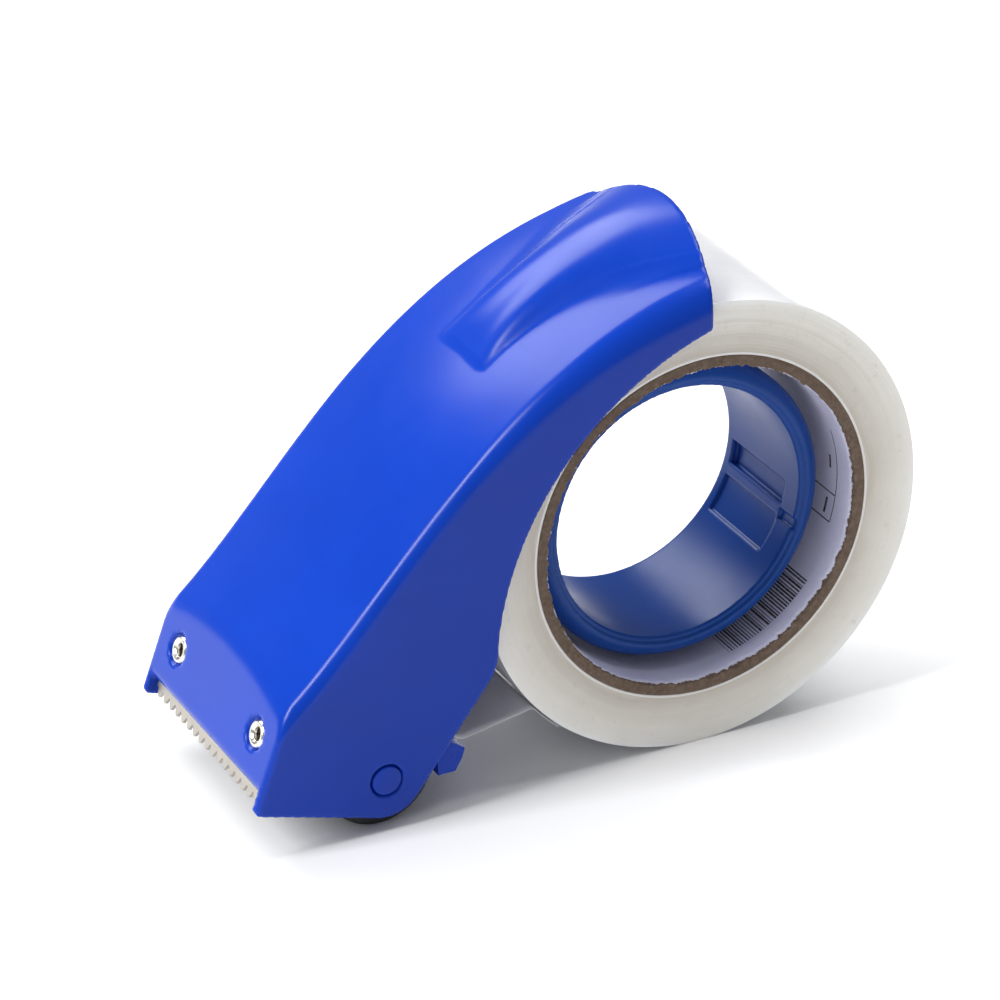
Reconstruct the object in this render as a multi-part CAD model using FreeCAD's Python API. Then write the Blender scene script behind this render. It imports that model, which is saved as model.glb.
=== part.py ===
import FreeCAD, Part
import math
import os

# Hand-held packing-tape dispenser loaded with one roll of tape.  Millimetres.
# X runs along the roll's axis and +X is the side that the roll slides on from.
# -Y points to the blade and +Z is up.  The part is drawn about the roll's axis
# and then moved so that it stands on Z = 0 with its box centred on X = Y = 0.

V = FreeCAD.Vector

# Tape roll
TAPE_W = 50.0
ROLL_R = 53.3
CORE_R = 40.6
CORE_BORE_R = 38.1
LABEL_T = 0.25
LABEL_W = 46.0

# Shell
SHELL_XC = -2.0
SHELL_HALF = 30.75
WALL = 2.2
ROOF_T = 2.0
CROWN = 3.0
ROOF_EDGE = [(-104.5, -22.4), (-96.0, -14.0), (-89.5, -8.2), (-77.2, 5.4), (-64.9, 19.9), (-52.6, 31.6),
             (-40.3, 40.9), (-28.1, 48.2), (-15.8, 53.8), (-3.5, 57.3), (8.0, 59.3)]
ROOF_Y = (-110.0, 12.0)
ROOF_ROWS = 44
ROOF_FLATS = 12
CORNER_STEPS = [0.3, 0.55, 0.76, 0.91, 0.98]
EDGE_OVER = 0.8
CORNER_END = 0.98
CORNER_FALL = 4.5
REAR_MID_Y = 4.5
REAR_SIDE_Y = -0.8

# Hump on the rear half of the roof: (y, half width, height of its crest above the roof's edge line)
HUMP = [(-50.0, 9.6, 0.5), (-46.0, 9.6, 2.7), (-42.0, 9.6, 4.6), (-36.0, 9.6, 5.9), (-28.0, 10.0, 6.9),
        (-18.0, 11.8, 7.7), (-8.0, 15.2, 8.2), (2.0, 19.5, 8.5), (8.0, 22.0, 8.6)]
HUMP_FLAT = 3.0
HUMP_SIDE = 0.62

# Front panel, blade and rivets, in a frame that starts at the panel's top edge:
# s runs down the panel, n runs into the shell
PANEL_TOP = (-102.3, -20.7)
PANEL_DIR = (-0.338, -0.941)
PANEL_IN = (0.941, -0.338)
PANEL_T = 2.2
LIP_S = 17.9
LIP_IN = 2.1
LIP_LEN = 4.2
BLADE_W = 55.0
BLADE_T = 0.8
BLADE_TOP_S = 2.6
BLADE_TIP_S = 20.9
TEETH = 17
TOOTH_PITCH = 3.2
TOOTH_DEPTH = 1.9
TOOTH_TIP = 0.35
BACK_T = 2.0
BACK_END_S = 14.5
RIVET_S = 7.1
RIVET_X = 20.5
RIVET_R = 2.0
RIVET_HEAD_R = 3.2
RIVET_BORE_R = 1.35
RECESS_R = 3.65
RECESS_D = 1.0
WASHER_R = 3.6
WASHER_T = 0.5
HEAD_T = 0.6

# Roller
ROLLER_Y = -78.4
ROLLER_Z = -40.7
ROLLER_R = 12.6
ROLLER_HALF = 27.0
SLEEVE_T = 2.4
TUBE_T = 1.6
BUSH_LEN = 9.0
BUSH_FLANGE = 0.8
AXLE_R = 2.0
AXLE_CLEAR = 0.06
CAP_R = 3.4
CAP_FLANGE_R = 4.8
CAP_FLANGE_T = 0.8
CAP_DOME = 0.3
CAP_HOLE_CLEAR = 0.08
CAP_GROOVE_R = 3.8
CAP_GROOVE_D = 0.5

# Side outline of the shell's cheeks
EAR = [(-108.8, -38.8), (-109.3, -40.3), (-108.5, -41.7)]
CHEEK_R = 9.1
EDGE_KNEE = (-52.0, -20.4)
EDGE_KNEE_R = 4.0
EDGE_ARC = [(-51.6, -15.0), (-29.3, 31.8), (-1.6, 48.6)]
REAR_CORNER = (0.6, 51.0)

# Guide bar behind the roller
GUIDE = [(-64.7, -44.7), (-60.6, -44.6), (-58.9, -41.6), (-58.3, -39.4), (-60.0, -38.2), (-63.4, -36.3),
         (-65.0, -38.0)]
GUIDE_TAB = [(-65.2, -40.0), (-62.8, -38.0), (-63.6, -34.5), (-60.8, -30.4), (-62.5, -27.5), (-66.6, -30.5),
             (-67.0, -33.4), (-65.2, -37.0)]
GUIDE_TAB_T = 1.2

# Free tape between the roll and the blade
WEB_T = 0.25
GAP = 0.35

# Hub and its arm
HUB_Y = -1.9
HUB_Z = 0.8
HUB_R = 35.4
HUB_BORE_R = 30.1
HUB_NEAR_X = 18.5
HUB_FAR_X = -14.5
HUB_NOSE_R = 3.8
HUB_LIP_R = 0.7
ARM_T = 3.2
ARM_OUT_R = 50.2
ARM_FROM = 92.0
ARM_TO = 212.0
BOSS_FROM = 78.0
BOSS_TO = 228.0
TONGUE_R = (31.7, 33.6)
TONGUE_LEN = 9.0
TONGUE_ANGLES = [98.0, 153.0, 208.0]
TONGUE_HALF_DEG = 9.0
FIT = 0.12
WINDOW_FROM = -14.6
WINDOW_TO = -4.0
WINDOW_X = (-11.5, 11.4)
WINDOW_D = 1.5
SCREW_R = 1.5
SCREW_HEAD_R = 2.9
SCREW_HEAD_T = 1.4
SCREW_RING_R = 46.8
SCREW_ANGLES = [112.0, 128.0, 144.0]
SCREW_SEAT_D = 1.5

NEAR_OUT = SHELL_XC + SHELL_HALF
FAR_OUT = SHELL_XC - SHELL_HALF
NEAR_IN = NEAR_OUT - WALL
FAR_IN = FAR_OUT + WALL
FAR_AWAY = 200.0


def lerp_table(table, y, column):
    """Smooth value of one column of a table at y, by a monotone cubic, held level past its ends."""
    ys = [row[0] for row in table]
    y = min(max(y, ys[0]), ys[-1])
    vs = [row[column] for row in table]
    last = len(ys) - 2
    i = 0
    while i < last and y > ys[i + 1]:
        i += 1
    slopes = [(vs[k + 1] - vs[k]) / (ys[k + 1] - ys[k]) for k in range(last + 1)]

    def tangent(k):
        if k == 0:
            return slopes[0]
        if k == last + 1:
            return slopes[last]
        if slopes[k - 1] * slopes[k] <= 0.0:
            return 0.0
        return 0.5 * (slopes[k - 1] + slopes[k])

    h = ys[i + 1] - ys[i]
    t = (y - ys[i]) / h
    a = (1.0 + 2.0 * t) * (1.0 - t) ** 2
    b = t * (1.0 - t) ** 2
    c = t * t * (3.0 - 2.0 * t)
    d = t * t * (t - 1.0)
    return a * vs[i] + b * h * tangent(i) + c * vs[i + 1] + d * h * tangent(i + 1)


def corner_radius(y):
    """Radius of the edge between roof and cheek, growing towards the rear."""
    return 3.0 + 2.5 * min(1.0, max(0.0, (y + 60.0) / 50.0))


def roof_height(u, y, half, grow):
    """Height of the roof at a distance u from the middle; grow is 0 outside, negative inside."""
    edge = lerp_table(ROOF_EDGE, y, 1)
    radius = corner_radius(y) + 0.5 * grow
    rise = CROWN * (1.0 - (u / half) ** 2)
    share = (u - half + radius) / radius
    drop = 0.0
    if share > 0.0:
        k = min(share, CORNER_END)
        past = max(0.0, share - CORNER_END) * radius
        drop = radius * (1.0 - math.sqrt(1.0 - k * k)) + CORNER_FALL * past
    base = edge + rise - drop
    k = u / (lerp_table(HUMP, y, 1) + 0.5 * grow)
    if k >= 1.0:
        return base
    hump = edge + lerp_table(HUMP, y, 2) * (1.0 - k ** HUMP_FLAT) ** HUMP_SIDE + rise * k * k
    return max(base, hump)


def slope_factor(y):
    """How much further down the inner face is where the roof slopes."""
    step = 0.5
    rise = lerp_table(ROOF_EDGE, y + step, 1) - lerp_table(ROOF_EDGE, y - step, 1)
    return math.sqrt(1.0 + (rise / (2.0 * step)) ** 2)


def roof_solid(half, thickness):
    """Everything under the roof surface; thickness sets it in from the outer face."""
    grid = []
    for row_index in range(ROOF_ROWS + 1):
        y = ROOF_Y[0] + (ROOF_Y[1] - ROOF_Y[0]) * row_index / ROOF_ROWS
        drop = thickness * slope_factor(y)
        radius = corner_radius(y) - 0.5 * thickness
        flat = half - radius
        across = [flat * k / ROOF_FLATS for k in range(ROOF_FLATS + 1)]
        across += [flat + radius * share for share in CORNER_STEPS]
        across += [half + 0.4 * EDGE_OVER, half + EDGE_OVER]
        row = []
        for u in [-step for step in reversed(across[1:])] + across:
            row.append(V(SHELL_XC + u, y, roof_height(abs(u), y, half, -thickness) - drop))
        grid.append(row)
    surface = Part.BSplineSurface()
    surface.interpolate(grid)
    solid = surface.toShape().extrude(V(0, 0, -FAR_AWAY))
    if solid.Volume < 0.0:
        solid.reverse()
    return solid


def prism(points, x0, x1):
    """Straight-sided outline in Y-Z, drawn through x0..x1."""
    wire = Part.makePolygon([V(x0, y, z) for y, z in points] + [V(x0, points[0][0], points[0][1])])
    return Part.Face(wire).extrude(V(x1 - x0, 0, 0))


def tube(radius, bore, x0, x1, y=0.0, z=0.0):
    outer = Part.makeCylinder(radius, x1 - x0, V(x0, y, z), V(1, 0, 0))
    if bore <= 0.0:
        return outer
    return outer.cut(Part.makeCylinder(bore, x1 - x0, V(x0, y, z), V(1, 0, 0)))


def sector(radius, bore, x0, x1, start, end, y, z):
    """Part of a ring about X, from angle start to end, counted from +Y towards +Z.

    A partial cylinder about X begins at +Z, which is 90 degrees here.
    """
    outer = Part.makeCylinder(radius, x1 - x0, V(x0, y, z), V(1, 0, 0), end - start)
    inner = Part.makeCylinder(bore, x1 - x0, V(x0, y, z), V(1, 0, 0))
    ring = outer.cut(inner)
    ring.rotate(V(x0, y, z), V(1, 0, 0), start - 90.0)
    return ring


def round_rim(shape, x, radius, fillet):
    """Rounds the circular edges of one radius that lie at one x."""
    rims = []
    for edge in shape.Edges:
        if edge.Closed and abs(edge.Curve.Center.x - x) < 0.01 and abs(edge.Curve.Radius - radius) < 0.01:
            rims.append(edge)
    return shape.makeFillet(fillet, rims)


def on_panel(s, n):
    """Y and Z of a point on the front panel's own frame."""
    y = PANEL_TOP[0] + PANEL_DIR[0] * s + PANEL_IN[0] * n
    z = PANEL_TOP[1] + PANEL_DIR[1] * s + PANEL_IN[1] * n
    return y, z


def panel_prism(corners, half, centre=SHELL_XC):
    points = [on_panel(s, n) for s, n in corners]
    return prism(points, centre - half, centre + half)


def panel_disc(radius, n0, n1, x):
    y, z = on_panel(RIVET_S, n0)
    return Part.makeCylinder(radius, n1 - n0, V(x, y, z), V(0, PANEL_IN[0], PANEL_IN[1]))


def cheek_outline():
    """Side outline of the shell below the roof surface."""
    cy, cz = ROLLER_Y, ROLLER_Z
    y0, z0 = EAR[2]
    y1, z1 = EDGE_KNEE
    low = tangent_point(y0, z0, cy, cz, CHEEK_R, -1.0)
    high = tangent_point(y1, z1, cy, cz, CHEEK_R, 1.0)
    middle_angle = 0.5 * (math.atan2(low[1] - cz, low[0] - cy) + math.atan2(high[1] - cz, high[0] - cy))
    middle = (cy + CHEEK_R * math.cos(middle_angle), cz + CHEEK_R * math.sin(middle_angle))
    up_y, up_z = unit(EDGE_KNEE[0] - high[0], EDGE_KNEE[1] - high[1])
    knee_in = (EDGE_KNEE[0] - up_y * EDGE_KNEE_R, EDGE_KNEE[1] - up_z * EDGE_KNEE_R)
    knee_mid = (EDGE_KNEE[0] - 0.35, EDGE_KNEE[1] + 0.15)
    corner_a = (EDGE_ARC[2][0], EDGE_ARC[2][1])
    corner_mid = (REAR_CORNER[0] - 0.3, REAR_CORNER[1] - 1.4)

    def p(point):
        return V(0, point[0], point[1])

    edges = [
        Part.LineSegment(p((-99.0, -11.6)), p(EAR[0])),
        Part.LineSegment(p(EAR[0]), p(EAR[1])),
        Part.LineSegment(p(EAR[1]), p(EAR[2])),
        Part.LineSegment(p(EAR[2]), p(low)),
        Part.Arc(p(low), p(middle), p(high)),
        Part.LineSegment(p(high), p(knee_in)),
        Part.Arc(p(knee_in), p(knee_mid), p(EDGE_ARC[0])),
        Part.Arc(p(EDGE_ARC[0]), p(EDGE_ARC[1]), p(corner_a)),
        Part.Arc(p(corner_a), p(corner_mid), p(REAR_CORNER)),
        Part.LineSegment(p(REAR_CORNER), p((REAR_CORNER[0], 90.0))),
        Part.LineSegment(p((REAR_CORNER[0], 90.0)), p((-99.0, 90.0))),
        Part.LineSegment(p((-99.0, 90.0)), p((-99.0, -11.6))),
    ]
    return Part.Wire([edge.toShape() for edge in edges])


def unit(a, b):
    length = math.hypot(a, b)
    return a / length, b / length


def tangent_point(py, pz, cy, cz, radius, side):
    """Point where a line from p touches a circle."""
    dy, dz = py - cy, pz - cz
    reach = math.hypot(dy, dz)
    base = math.atan2(dz, dy)
    swing = side * -math.acos(radius / reach)
    return cy + radius * math.cos(base + swing), cz + radius * math.sin(base + swing)


def body_prism(x0, x1):
    face = Part.Face(cheek_outline())
    solid = face.extrude(V(x1 - x0, 0, 0))
    solid.translate(V(x0, 0, 0))
    return solid


def roof_rear_outline():
    """Plan outline of everything in front of the roof's bulging rear edge."""
    half = SHELL_HALF + 4.0
    left = V(SHELL_XC - half, REAR_SIDE_Y - 1.4, -90)
    right = V(SHELL_XC + half, REAR_SIDE_Y - 1.4, -90)
    middle = V(SHELL_XC, REAR_MID_Y, -90)
    far_left = V(SHELL_XC - half, -150, -90)
    far_right = V(SHELL_XC + half, -150, -90)
    edges = [
        Part.Arc(left, middle, right),
        Part.LineSegment(right, far_right),
        Part.LineSegment(far_right, far_left),
        Part.LineSegment(far_left, left),
    ]
    return Part.Face(Part.Wire([edge.toShape() for edge in edges])).extrude(V(0, 0, FAR_AWAY))


def shell_outer():
    sides = body_prism(FAR_OUT, NEAR_OUT)
    bulge = Part.makeBox(2.0 * SHELL_HALF, 14.0, 40.0, V(FAR_OUT, -6.0, REAR_CORNER[1] + 1.5))
    return sides.fuse(bulge).common(roof_solid(SHELL_HALF, 0.0)).common(roof_rear_outline())


def shell_inner():
    """Hollow of the shell, open below and at the rear."""
    back = on_panel(-40.0, PANEL_T)
    low = on_panel(40.0, PANEL_T)
    block = prism([back, low, (60.0, low[1]), (60.0, 90.0), (back[0], 90.0)], FAR_IN, NEAR_IN)
    return block.common(roof_solid(SHELL_HALF - WALL, ROOF_T))


def lip_cutter():
    """Takes the panel back in a round at its lower lip, between the ears."""
    s0 = LIP_S - LIP_LEN
    start = on_panel(s0, 0.0)
    middle = on_panel(LIP_S - 0.9, 0.55)
    end = on_panel(LIP_S, LIP_IN)
    down = on_panel(LIP_S + 8.0, LIP_IN)
    out = on_panel(LIP_S + 8.0, -6.0)
    top = on_panel(s0, -6.0)

    def p(point):
        return V(0, point[0], point[1])

    edges = [
        Part.Arc(p(start), p(middle), p(end)),
        Part.LineSegment(p(end), p(down)),
        Part.LineSegment(p(down), p(out)),
        Part.LineSegment(p(out), p(top)),
        Part.LineSegment(p(top), p(start)),
    ]
    solid = Part.Face(Part.Wire([edge.toShape() for edge in edges])).extrude(V(NEAR_IN - FAR_IN, 0, 0))
    solid.translate(V(FAR_IN, 0, 0))
    below = panel_prism([(LIP_S, -6.0), (LIP_S + 8.0, -6.0), (LIP_S + 8.0, PANEL_T + 0.5), (LIP_S, PANEL_T + 0.5)],
                        SHELL_HALF - WALL)
    return solid.fuse(below)


def screw_places():
    places = []
    for angle in SCREW_ANGLES:
        a = math.radians(angle)
        places.append((SCREW_RING_R * math.cos(a), SCREW_RING_R * math.sin(a)))
    return places


def make_shell():
    shell = shell_outer().cut(shell_inner()).cut(lip_cutter())
    for x in (SHELL_XC - RIVET_X, SHELL_XC + RIVET_X):
        shell = shell.cut(panel_disc(RECESS_R, -1.0, RECESS_D, x))
        shell = shell.cut(panel_disc(RIVET_R + 0.05, -1.0, PANEL_T + 1.0, x))
    for x0, x1, groove in ((NEAR_IN, NEAR_OUT, NEAR_OUT), (FAR_OUT, FAR_IN, FAR_OUT)):
        hole = tube(CAP_R + CAP_HOLE_CLEAR, 0.0, x0 - 1.0, x1 + 1.0, ROLLER_Y, ROLLER_Z)
        ring = tube(CAP_GROOVE_R, 0.0, groove - CAP_GROOVE_D, groove + CAP_GROOVE_D, ROLLER_Y, ROLLER_Z)
        shell = shell.cut(hole).cut(ring)
    for y, z in screw_places():
        shell = shell.cut(tube(SCREW_R + 0.1, 0.0, FAR_OUT - 1.0, FAR_IN + 1.0, y, z))
        shell = shell.cut(tube(SCREW_HEAD_R + 0.2, 0.0, FAR_OUT - 1.0, FAR_OUT + SCREW_SEAT_D, y, z))
    return shell


def make_blade():
    root_s = BLADE_TIP_S - TOOTH_DEPTH
    half = 0.5 * BLADE_W
    blade = panel_prism([(BLADE_TOP_S, PANEL_T), (BLADE_TIP_S, PANEL_T), (BLADE_TIP_S, PANEL_T + BLADE_T),
                         (BLADE_TOP_S, PANEL_T + BLADE_T)], half)
    gullet_half = 0.5 * TOOTH_PITCH - TOOTH_TIP
    for k in range(TEETH + 1):
        x = SHELL_XC + (k - 0.5 * TEETH) * TOOTH_PITCH
        corners = [(x - gullet_half, BLADE_TIP_S + 0.01), (x - 0.35, root_s + 0.25), (x, root_s),
                   (x + 0.35, root_s + 0.25), (x + gullet_half, BLADE_TIP_S + 0.01)]
        points = []
        for px, s in corners:
            y, z = on_panel(s, PANEL_T - 0.5)
            points.append(V(px, y, z))
        gullet = Part.Face(Part.makePolygon(points + [points[0]]))
        depth = BLADE_T + 1.0
        blade = blade.cut(gullet.extrude(V(0, PANEL_IN[0] * depth, PANEL_IN[1] * depth)))
    for x in (SHELL_XC - RIVET_X, SHELL_XC + RIVET_X):
        blade = blade.cut(panel_disc(RIVET_R + 0.05, 0.0, 8.0, x))
    return blade


def make_backing():
    n0 = PANEL_T + BLADE_T
    strip = panel_prism([(BLADE_TOP_S, n0), (BACK_END_S, n0), (BACK_END_S, n0 + 0.8), (BACK_END_S - 1.6, n0 + BACK_T),
                         (BLADE_TOP_S, n0 + BACK_T)], 0.5 * BLADE_W)
    for x in (SHELL_XC - RIVET_X, SHELL_XC + RIVET_X):
        strip = strip.cut(panel_disc(RIVET_R + 0.05, 0.0, 12.0, x))
    return strip


def make_rivets():
    back = PANEL_T + BLADE_T + BACK_T + WASHER_T
    rivets = []
    for x in (SHELL_XC - RIVET_X, SHELL_XC + RIVET_X):
        rivet = panel_disc(RIVET_HEAD_R, RECESS_D - HEAD_T, RECESS_D, x)
        rivet = rivet.fuse(panel_disc(RIVET_R, RECESS_D, back, x))
        rivet = rivet.fuse(panel_disc(RIVET_HEAD_R - 0.3, back, back + HEAD_T, x))
        rivet = rivet.cut(panel_disc(RIVET_BORE_R, -1.0, back + 2.0, x))
        y, z = on_panel(RIVET_S, RECESS_D - HEAD_T - 0.01)
        funnel = Part.makeCone(RIVET_R + 0.4, RIVET_BORE_R, 1.4, V(x, y, z), V(0, PANEL_IN[0], PANEL_IN[1]))
        rivets.append(rivet.cut(funnel))
    return Part.makeCompound(rivets)


def make_washers():
    n0 = PANEL_T + BLADE_T + BACK_T
    washers = []
    for x in (SHELL_XC - RIVET_X, SHELL_XC + RIVET_X):
        washers.append(panel_disc(WASHER_R, n0, n0 + WASHER_T, x).cut(panel_disc(RIVET_R + 0.05, n0 - 1, n0 + 2, x)))
    return Part.makeCompound(washers)


def roller_parts():
    x0, x1 = SHELL_XC - ROLLER_HALF, SHELL_XC + ROLLER_HALF
    tube_r = ROLLER_R - SLEEVE_T
    bore = tube_r - TUBE_T
    sleeve = tube(ROLLER_R, tube_r, x0, x1, ROLLER_Y, ROLLER_Z)
    sleeve = round_rim(round_rim(sleeve, x0, ROLLER_R, 0.6), x1, ROLLER_R, 0.6)
    core = tube(tube_r, bore, x0 + BUSH_FLANGE, x1 - BUSH_FLANGE, ROLLER_Y, ROLLER_Z)
    bushes = []
    for end, way in ((x0, 1.0), (x1, -1.0)):
        flange_far = end + way * BUSH_FLANGE
        plug_far = flange_far + way * BUSH_LEN
        flange = tube(tube_r, 0.0, min(end, flange_far), max(end, flange_far), ROLLER_Y, ROLLER_Z)
        plug = tube(bore, 0.0, min(flange_far, plug_far), max(flange_far, plug_far), ROLLER_Y, ROLLER_Z)
        bush = flange.fuse(plug)
        pocket = tube(bore - 1.4, AXLE_R + 1.6, min(flange_far, plug_far) - 0.4 * (1 - way) + 0.0,
                      max(flange_far, plug_far) + 0.4 * (1 + way), ROLLER_Y, ROLLER_Z)
        hole = tube(AXLE_R + AXLE_CLEAR, 0.0, -FAR_AWAY, FAR_AWAY, ROLLER_Y, ROLLER_Z)
        bushes.append(bush.cut(pocket).cut(hole).removeSplitter())
    return sleeve, core, Part.makeCompound(bushes)


def make_axle():
    return tube(AXLE_R, 0.0, FAR_IN - 1.2, NEAR_IN + 1.2, ROLLER_Y, ROLLER_Z)


def make_caps():
    caps = []
    for inner, outer, way in ((NEAR_IN, NEAR_OUT, 1.0), (FAR_IN, FAR_OUT, -1.0)):
        plug = tube(CAP_R, 0.0, min(inner, outer), max(inner, outer), ROLLER_Y, ROLLER_Z)
        step = inner - way * CAP_FLANGE_T
        flange = tube(CAP_FLANGE_R, 0.0, min(inner, step), max(inner, step), ROLLER_Y, ROLLER_Z)
        dome_r = (CAP_R ** 2 + CAP_DOME ** 2) / (2.0 * CAP_DOME)
        ball = Part.makeSphere(dome_r, V(outer + way * (CAP_DOME - dome_r), ROLLER_Y, ROLLER_Z))
        dome = tube(CAP_R, 0.0, min(outer, outer + way), max(outer, outer + way), ROLLER_Y, ROLLER_Z).common(ball)
        socket = tube(AXLE_R, 0.0, min(step - way, inner + 1.2 * way), max(step - way, inner + 1.2 * way),
                      ROLLER_Y, ROLLER_Z)
        caps.append(plug.fuse(flange).fuse(dome).cut(socket).removeSplitter())
    return Part.makeCompound(caps)


def make_guide():
    half = SHELL_HALF - WALL
    bar = prism(GUIDE, SHELL_XC - half + 1.0, SHELL_XC + half - 1.0)
    for side in (-1.0, 1.0):
        face = SHELL_XC + side * half
        inner = face - side * GUIDE_TAB_T
        tab = prism(GUIDE_TAB, min(face, inner), max(face, inner))
        bar = bar.fuse(tab)
    return bar.removeSplitter()


def band(path, thickness, x0, x1):
    """Thin strip that follows a path in Y-Z, with mitred corners."""
    left, right = [], []
    last = len(path) - 1
    for k, (y, z) in enumerate(path):
        before = path[max(k - 1, 0)]
        after = path[min(k + 1, last)]
        ty, tz = unit(after[0] - before[0], after[1] - before[1])
        left.append((y - tz * 0.5 * thickness, z + ty * 0.5 * thickness))
        right.append((y + tz * 0.5 * thickness, z - ty * 0.5 * thickness))
    return prism(left + right[::-1], x0, x1)


def arc_points(cy, cz, radius, start, end, count):
    points = []
    for k in range(count + 1):
        a = math.radians(start + (end - start) * k / count)
        points.append((cy + radius * math.cos(a), cz + radius * math.sin(a)))
    return points


def make_web():
    """Free tape: off the roll, over the guide bar and the roller's top, then down towards the blade."""
    half_t = 0.5 * WEB_T
    peel_r = ROLL_R + GAP + half_t
    path = arc_points(0.0, 0.0, peel_r, 229.0, 219.5, 2)
    path.append((-58.6, -37.5))
    path.append((-61.6, -35.9))
    over = arc_points(ROLLER_Y, ROLLER_Z, ROLLER_R + GAP + half_t, 62.0, 132.0, 10)
    path += over
    path.append((-97.5, -38.6))
    return band(path, WEB_T, -0.5 * TAPE_W, 0.5 * TAPE_W)


def make_hub():
    ring = tube(HUB_R, HUB_BORE_R, HUB_FAR_X, HUB_NEAR_X, HUB_Y, HUB_Z)
    ring = round_rim(ring, HUB_NEAR_X, HUB_R, HUB_NOSE_R)
    ring = round_rim(ring, HUB_NEAR_X, HUB_BORE_R, HUB_LIP_R)
    window = sector(HUB_BORE_R + WINDOW_D, HUB_BORE_R - 1.0, WINDOW_X[0], WINDOW_X[1], WINDOW_FROM, WINDOW_TO,
                    HUB_Y, HUB_Z)
    ring = ring.cut(window)
    for angle in TONGUE_ANGLES:
        slot = sector(TONGUE_R[1] + FIT, TONGUE_R[0] - FIT, HUB_FAR_X - 1.0, HUB_FAR_X + TONGUE_LEN + FIT,
                      angle - TONGUE_HALF_DEG - 0.3, angle + TONGUE_HALF_DEG + 0.3, HUB_Y, HUB_Z)
        ring = ring.cut(slot)
    return ring.removeSplitter()


def make_arm():
    """Far-side plate that hangs the hub from the shell, with its part-round boss and snap tongues."""
    plate = sector(ARM_OUT_R, HUB_BORE_R, FAR_IN, FAR_IN + ARM_T, ARM_FROM, ARM_TO, 0.0, 0.0)
    hub_plate = sector(HUB_R + 2.0, HUB_BORE_R, FAR_IN, FAR_IN + ARM_T, BOSS_FROM, BOSS_TO, HUB_Y, HUB_Z)
    clear = tube(HUB_BORE_R, 0.0, FAR_IN - 1.0, FAR_IN + ARM_T + 1.0, HUB_Y, HUB_Z)
    plate = plate.cut(clear).fuse(hub_plate)
    boss = sector(HUB_R, HUB_BORE_R, FAR_IN + ARM_T, HUB_FAR_X, BOSS_FROM, BOSS_TO, HUB_Y, HUB_Z)
    arm = plate.fuse(boss)
    for angle in TONGUE_ANGLES:
        tongue = sector(TONGUE_R[1], TONGUE_R[0], HUB_FAR_X, HUB_FAR_X + TONGUE_LEN, angle - TONGUE_HALF_DEG,
                        angle + TONGUE_HALF_DEG, HUB_Y, HUB_Z)
        arm = arm.fuse(tongue)
    for y, z in screw_places():
        arm = arm.cut(tube(SCREW_R, 0.0, FAR_IN - 1.0, FAR_IN + ARM_T + 1.0, y, z))
    return arm.removeSplitter()


def make_screws():
    screws = []
    seat = FAR_OUT + SCREW_SEAT_D
    for y, z in screw_places():
        head = tube(SCREW_HEAD_R, 0.0, seat - SCREW_HEAD_T, seat, y, z)
        shank = tube(SCREW_R, 0.0, seat, FAR_IN + ARM_T, y, z)
        slot_a = Part.makeBox(0.7, 0.8, 3.4, V(seat - SCREW_HEAD_T - 0.01, y - 0.4, z - 1.7))
        slot_b = Part.makeBox(0.7, 3.4, 0.8, V(seat - SCREW_HEAD_T - 0.01, y - 1.7, z - 0.4))
        screws.append(head.fuse(shank).cut(slot_a).cut(slot_b).removeSplitter())
    return Part.makeCompound(screws)


def make_roll():
    half = 0.5 * TAPE_W
    tape = tube(ROLL_R, CORE_R, -half, half)
    core = tube(CORE_R, CORE_BORE_R, -half, half)
    label = tube(CORE_BORE_R, CORE_BORE_R - LABEL_T, -0.5 * LABEL_W, 0.5 * LABEL_W)
    return tape, core, label


def build():
    sleeve, roller_core, bushes = roller_parts()
    tape, core, label = make_roll()
    nodes = {
        "shell": make_shell(),
        "side_arm": make_arm(),
        "hub_ring": make_hub(),
        "arm_screws": make_screws(),
        "blade": make_blade(),
        "blade_backing": make_backing(),
        "blade_rivets": make_rivets(),
        "rivet_washers": make_washers(),
        "guide_bar": make_guide(),
        "roller_sleeve": sleeve,
        "roller_core": roller_core,
        "roller_bushes": bushes,
        "roller_axle": make_axle(),
        "axle_caps": make_caps(),
        "tape_core": core,
        "core_label": label,
        "tape_roll": tape,
        "tape_web": make_web(),
    }
    shift = V(-SHELL_XC, -0.5 * (EAR[1][0] + ROLL_R), ROLL_R)
    os.makedirs("parts", exist_ok=True)
    for name, shape in nodes.items():
        shape.translate(shift)
        print(name, shape.isValid(), len(shape.Solids), round(shape.Volume, 1))
        shape.exportStep("parts/" + name + ".step")


build()
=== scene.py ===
import math

import bpy
import numpy as np
from mathutils import Matrix, Vector


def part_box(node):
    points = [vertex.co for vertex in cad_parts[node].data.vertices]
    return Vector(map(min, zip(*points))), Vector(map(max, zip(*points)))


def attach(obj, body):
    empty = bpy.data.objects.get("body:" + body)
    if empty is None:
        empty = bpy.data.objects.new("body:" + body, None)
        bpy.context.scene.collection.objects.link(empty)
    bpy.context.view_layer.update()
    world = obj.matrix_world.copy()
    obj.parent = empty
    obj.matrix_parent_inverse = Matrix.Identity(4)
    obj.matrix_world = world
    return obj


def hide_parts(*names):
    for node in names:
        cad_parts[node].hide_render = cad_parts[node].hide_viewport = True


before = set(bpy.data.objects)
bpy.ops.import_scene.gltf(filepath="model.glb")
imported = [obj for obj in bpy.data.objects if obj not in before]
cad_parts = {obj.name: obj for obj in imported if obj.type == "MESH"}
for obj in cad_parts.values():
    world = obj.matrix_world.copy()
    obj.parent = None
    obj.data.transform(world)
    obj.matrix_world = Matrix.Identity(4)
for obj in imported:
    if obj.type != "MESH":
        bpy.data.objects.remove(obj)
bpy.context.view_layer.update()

# Looks of a hand-held packing-tape dispenser.  Shapes are drawn in millimetres about
# the roll's axis, with -Y towards the blade, and placed() puts them in the frame.
# +X is the near side, which the roll slides on from.

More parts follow.
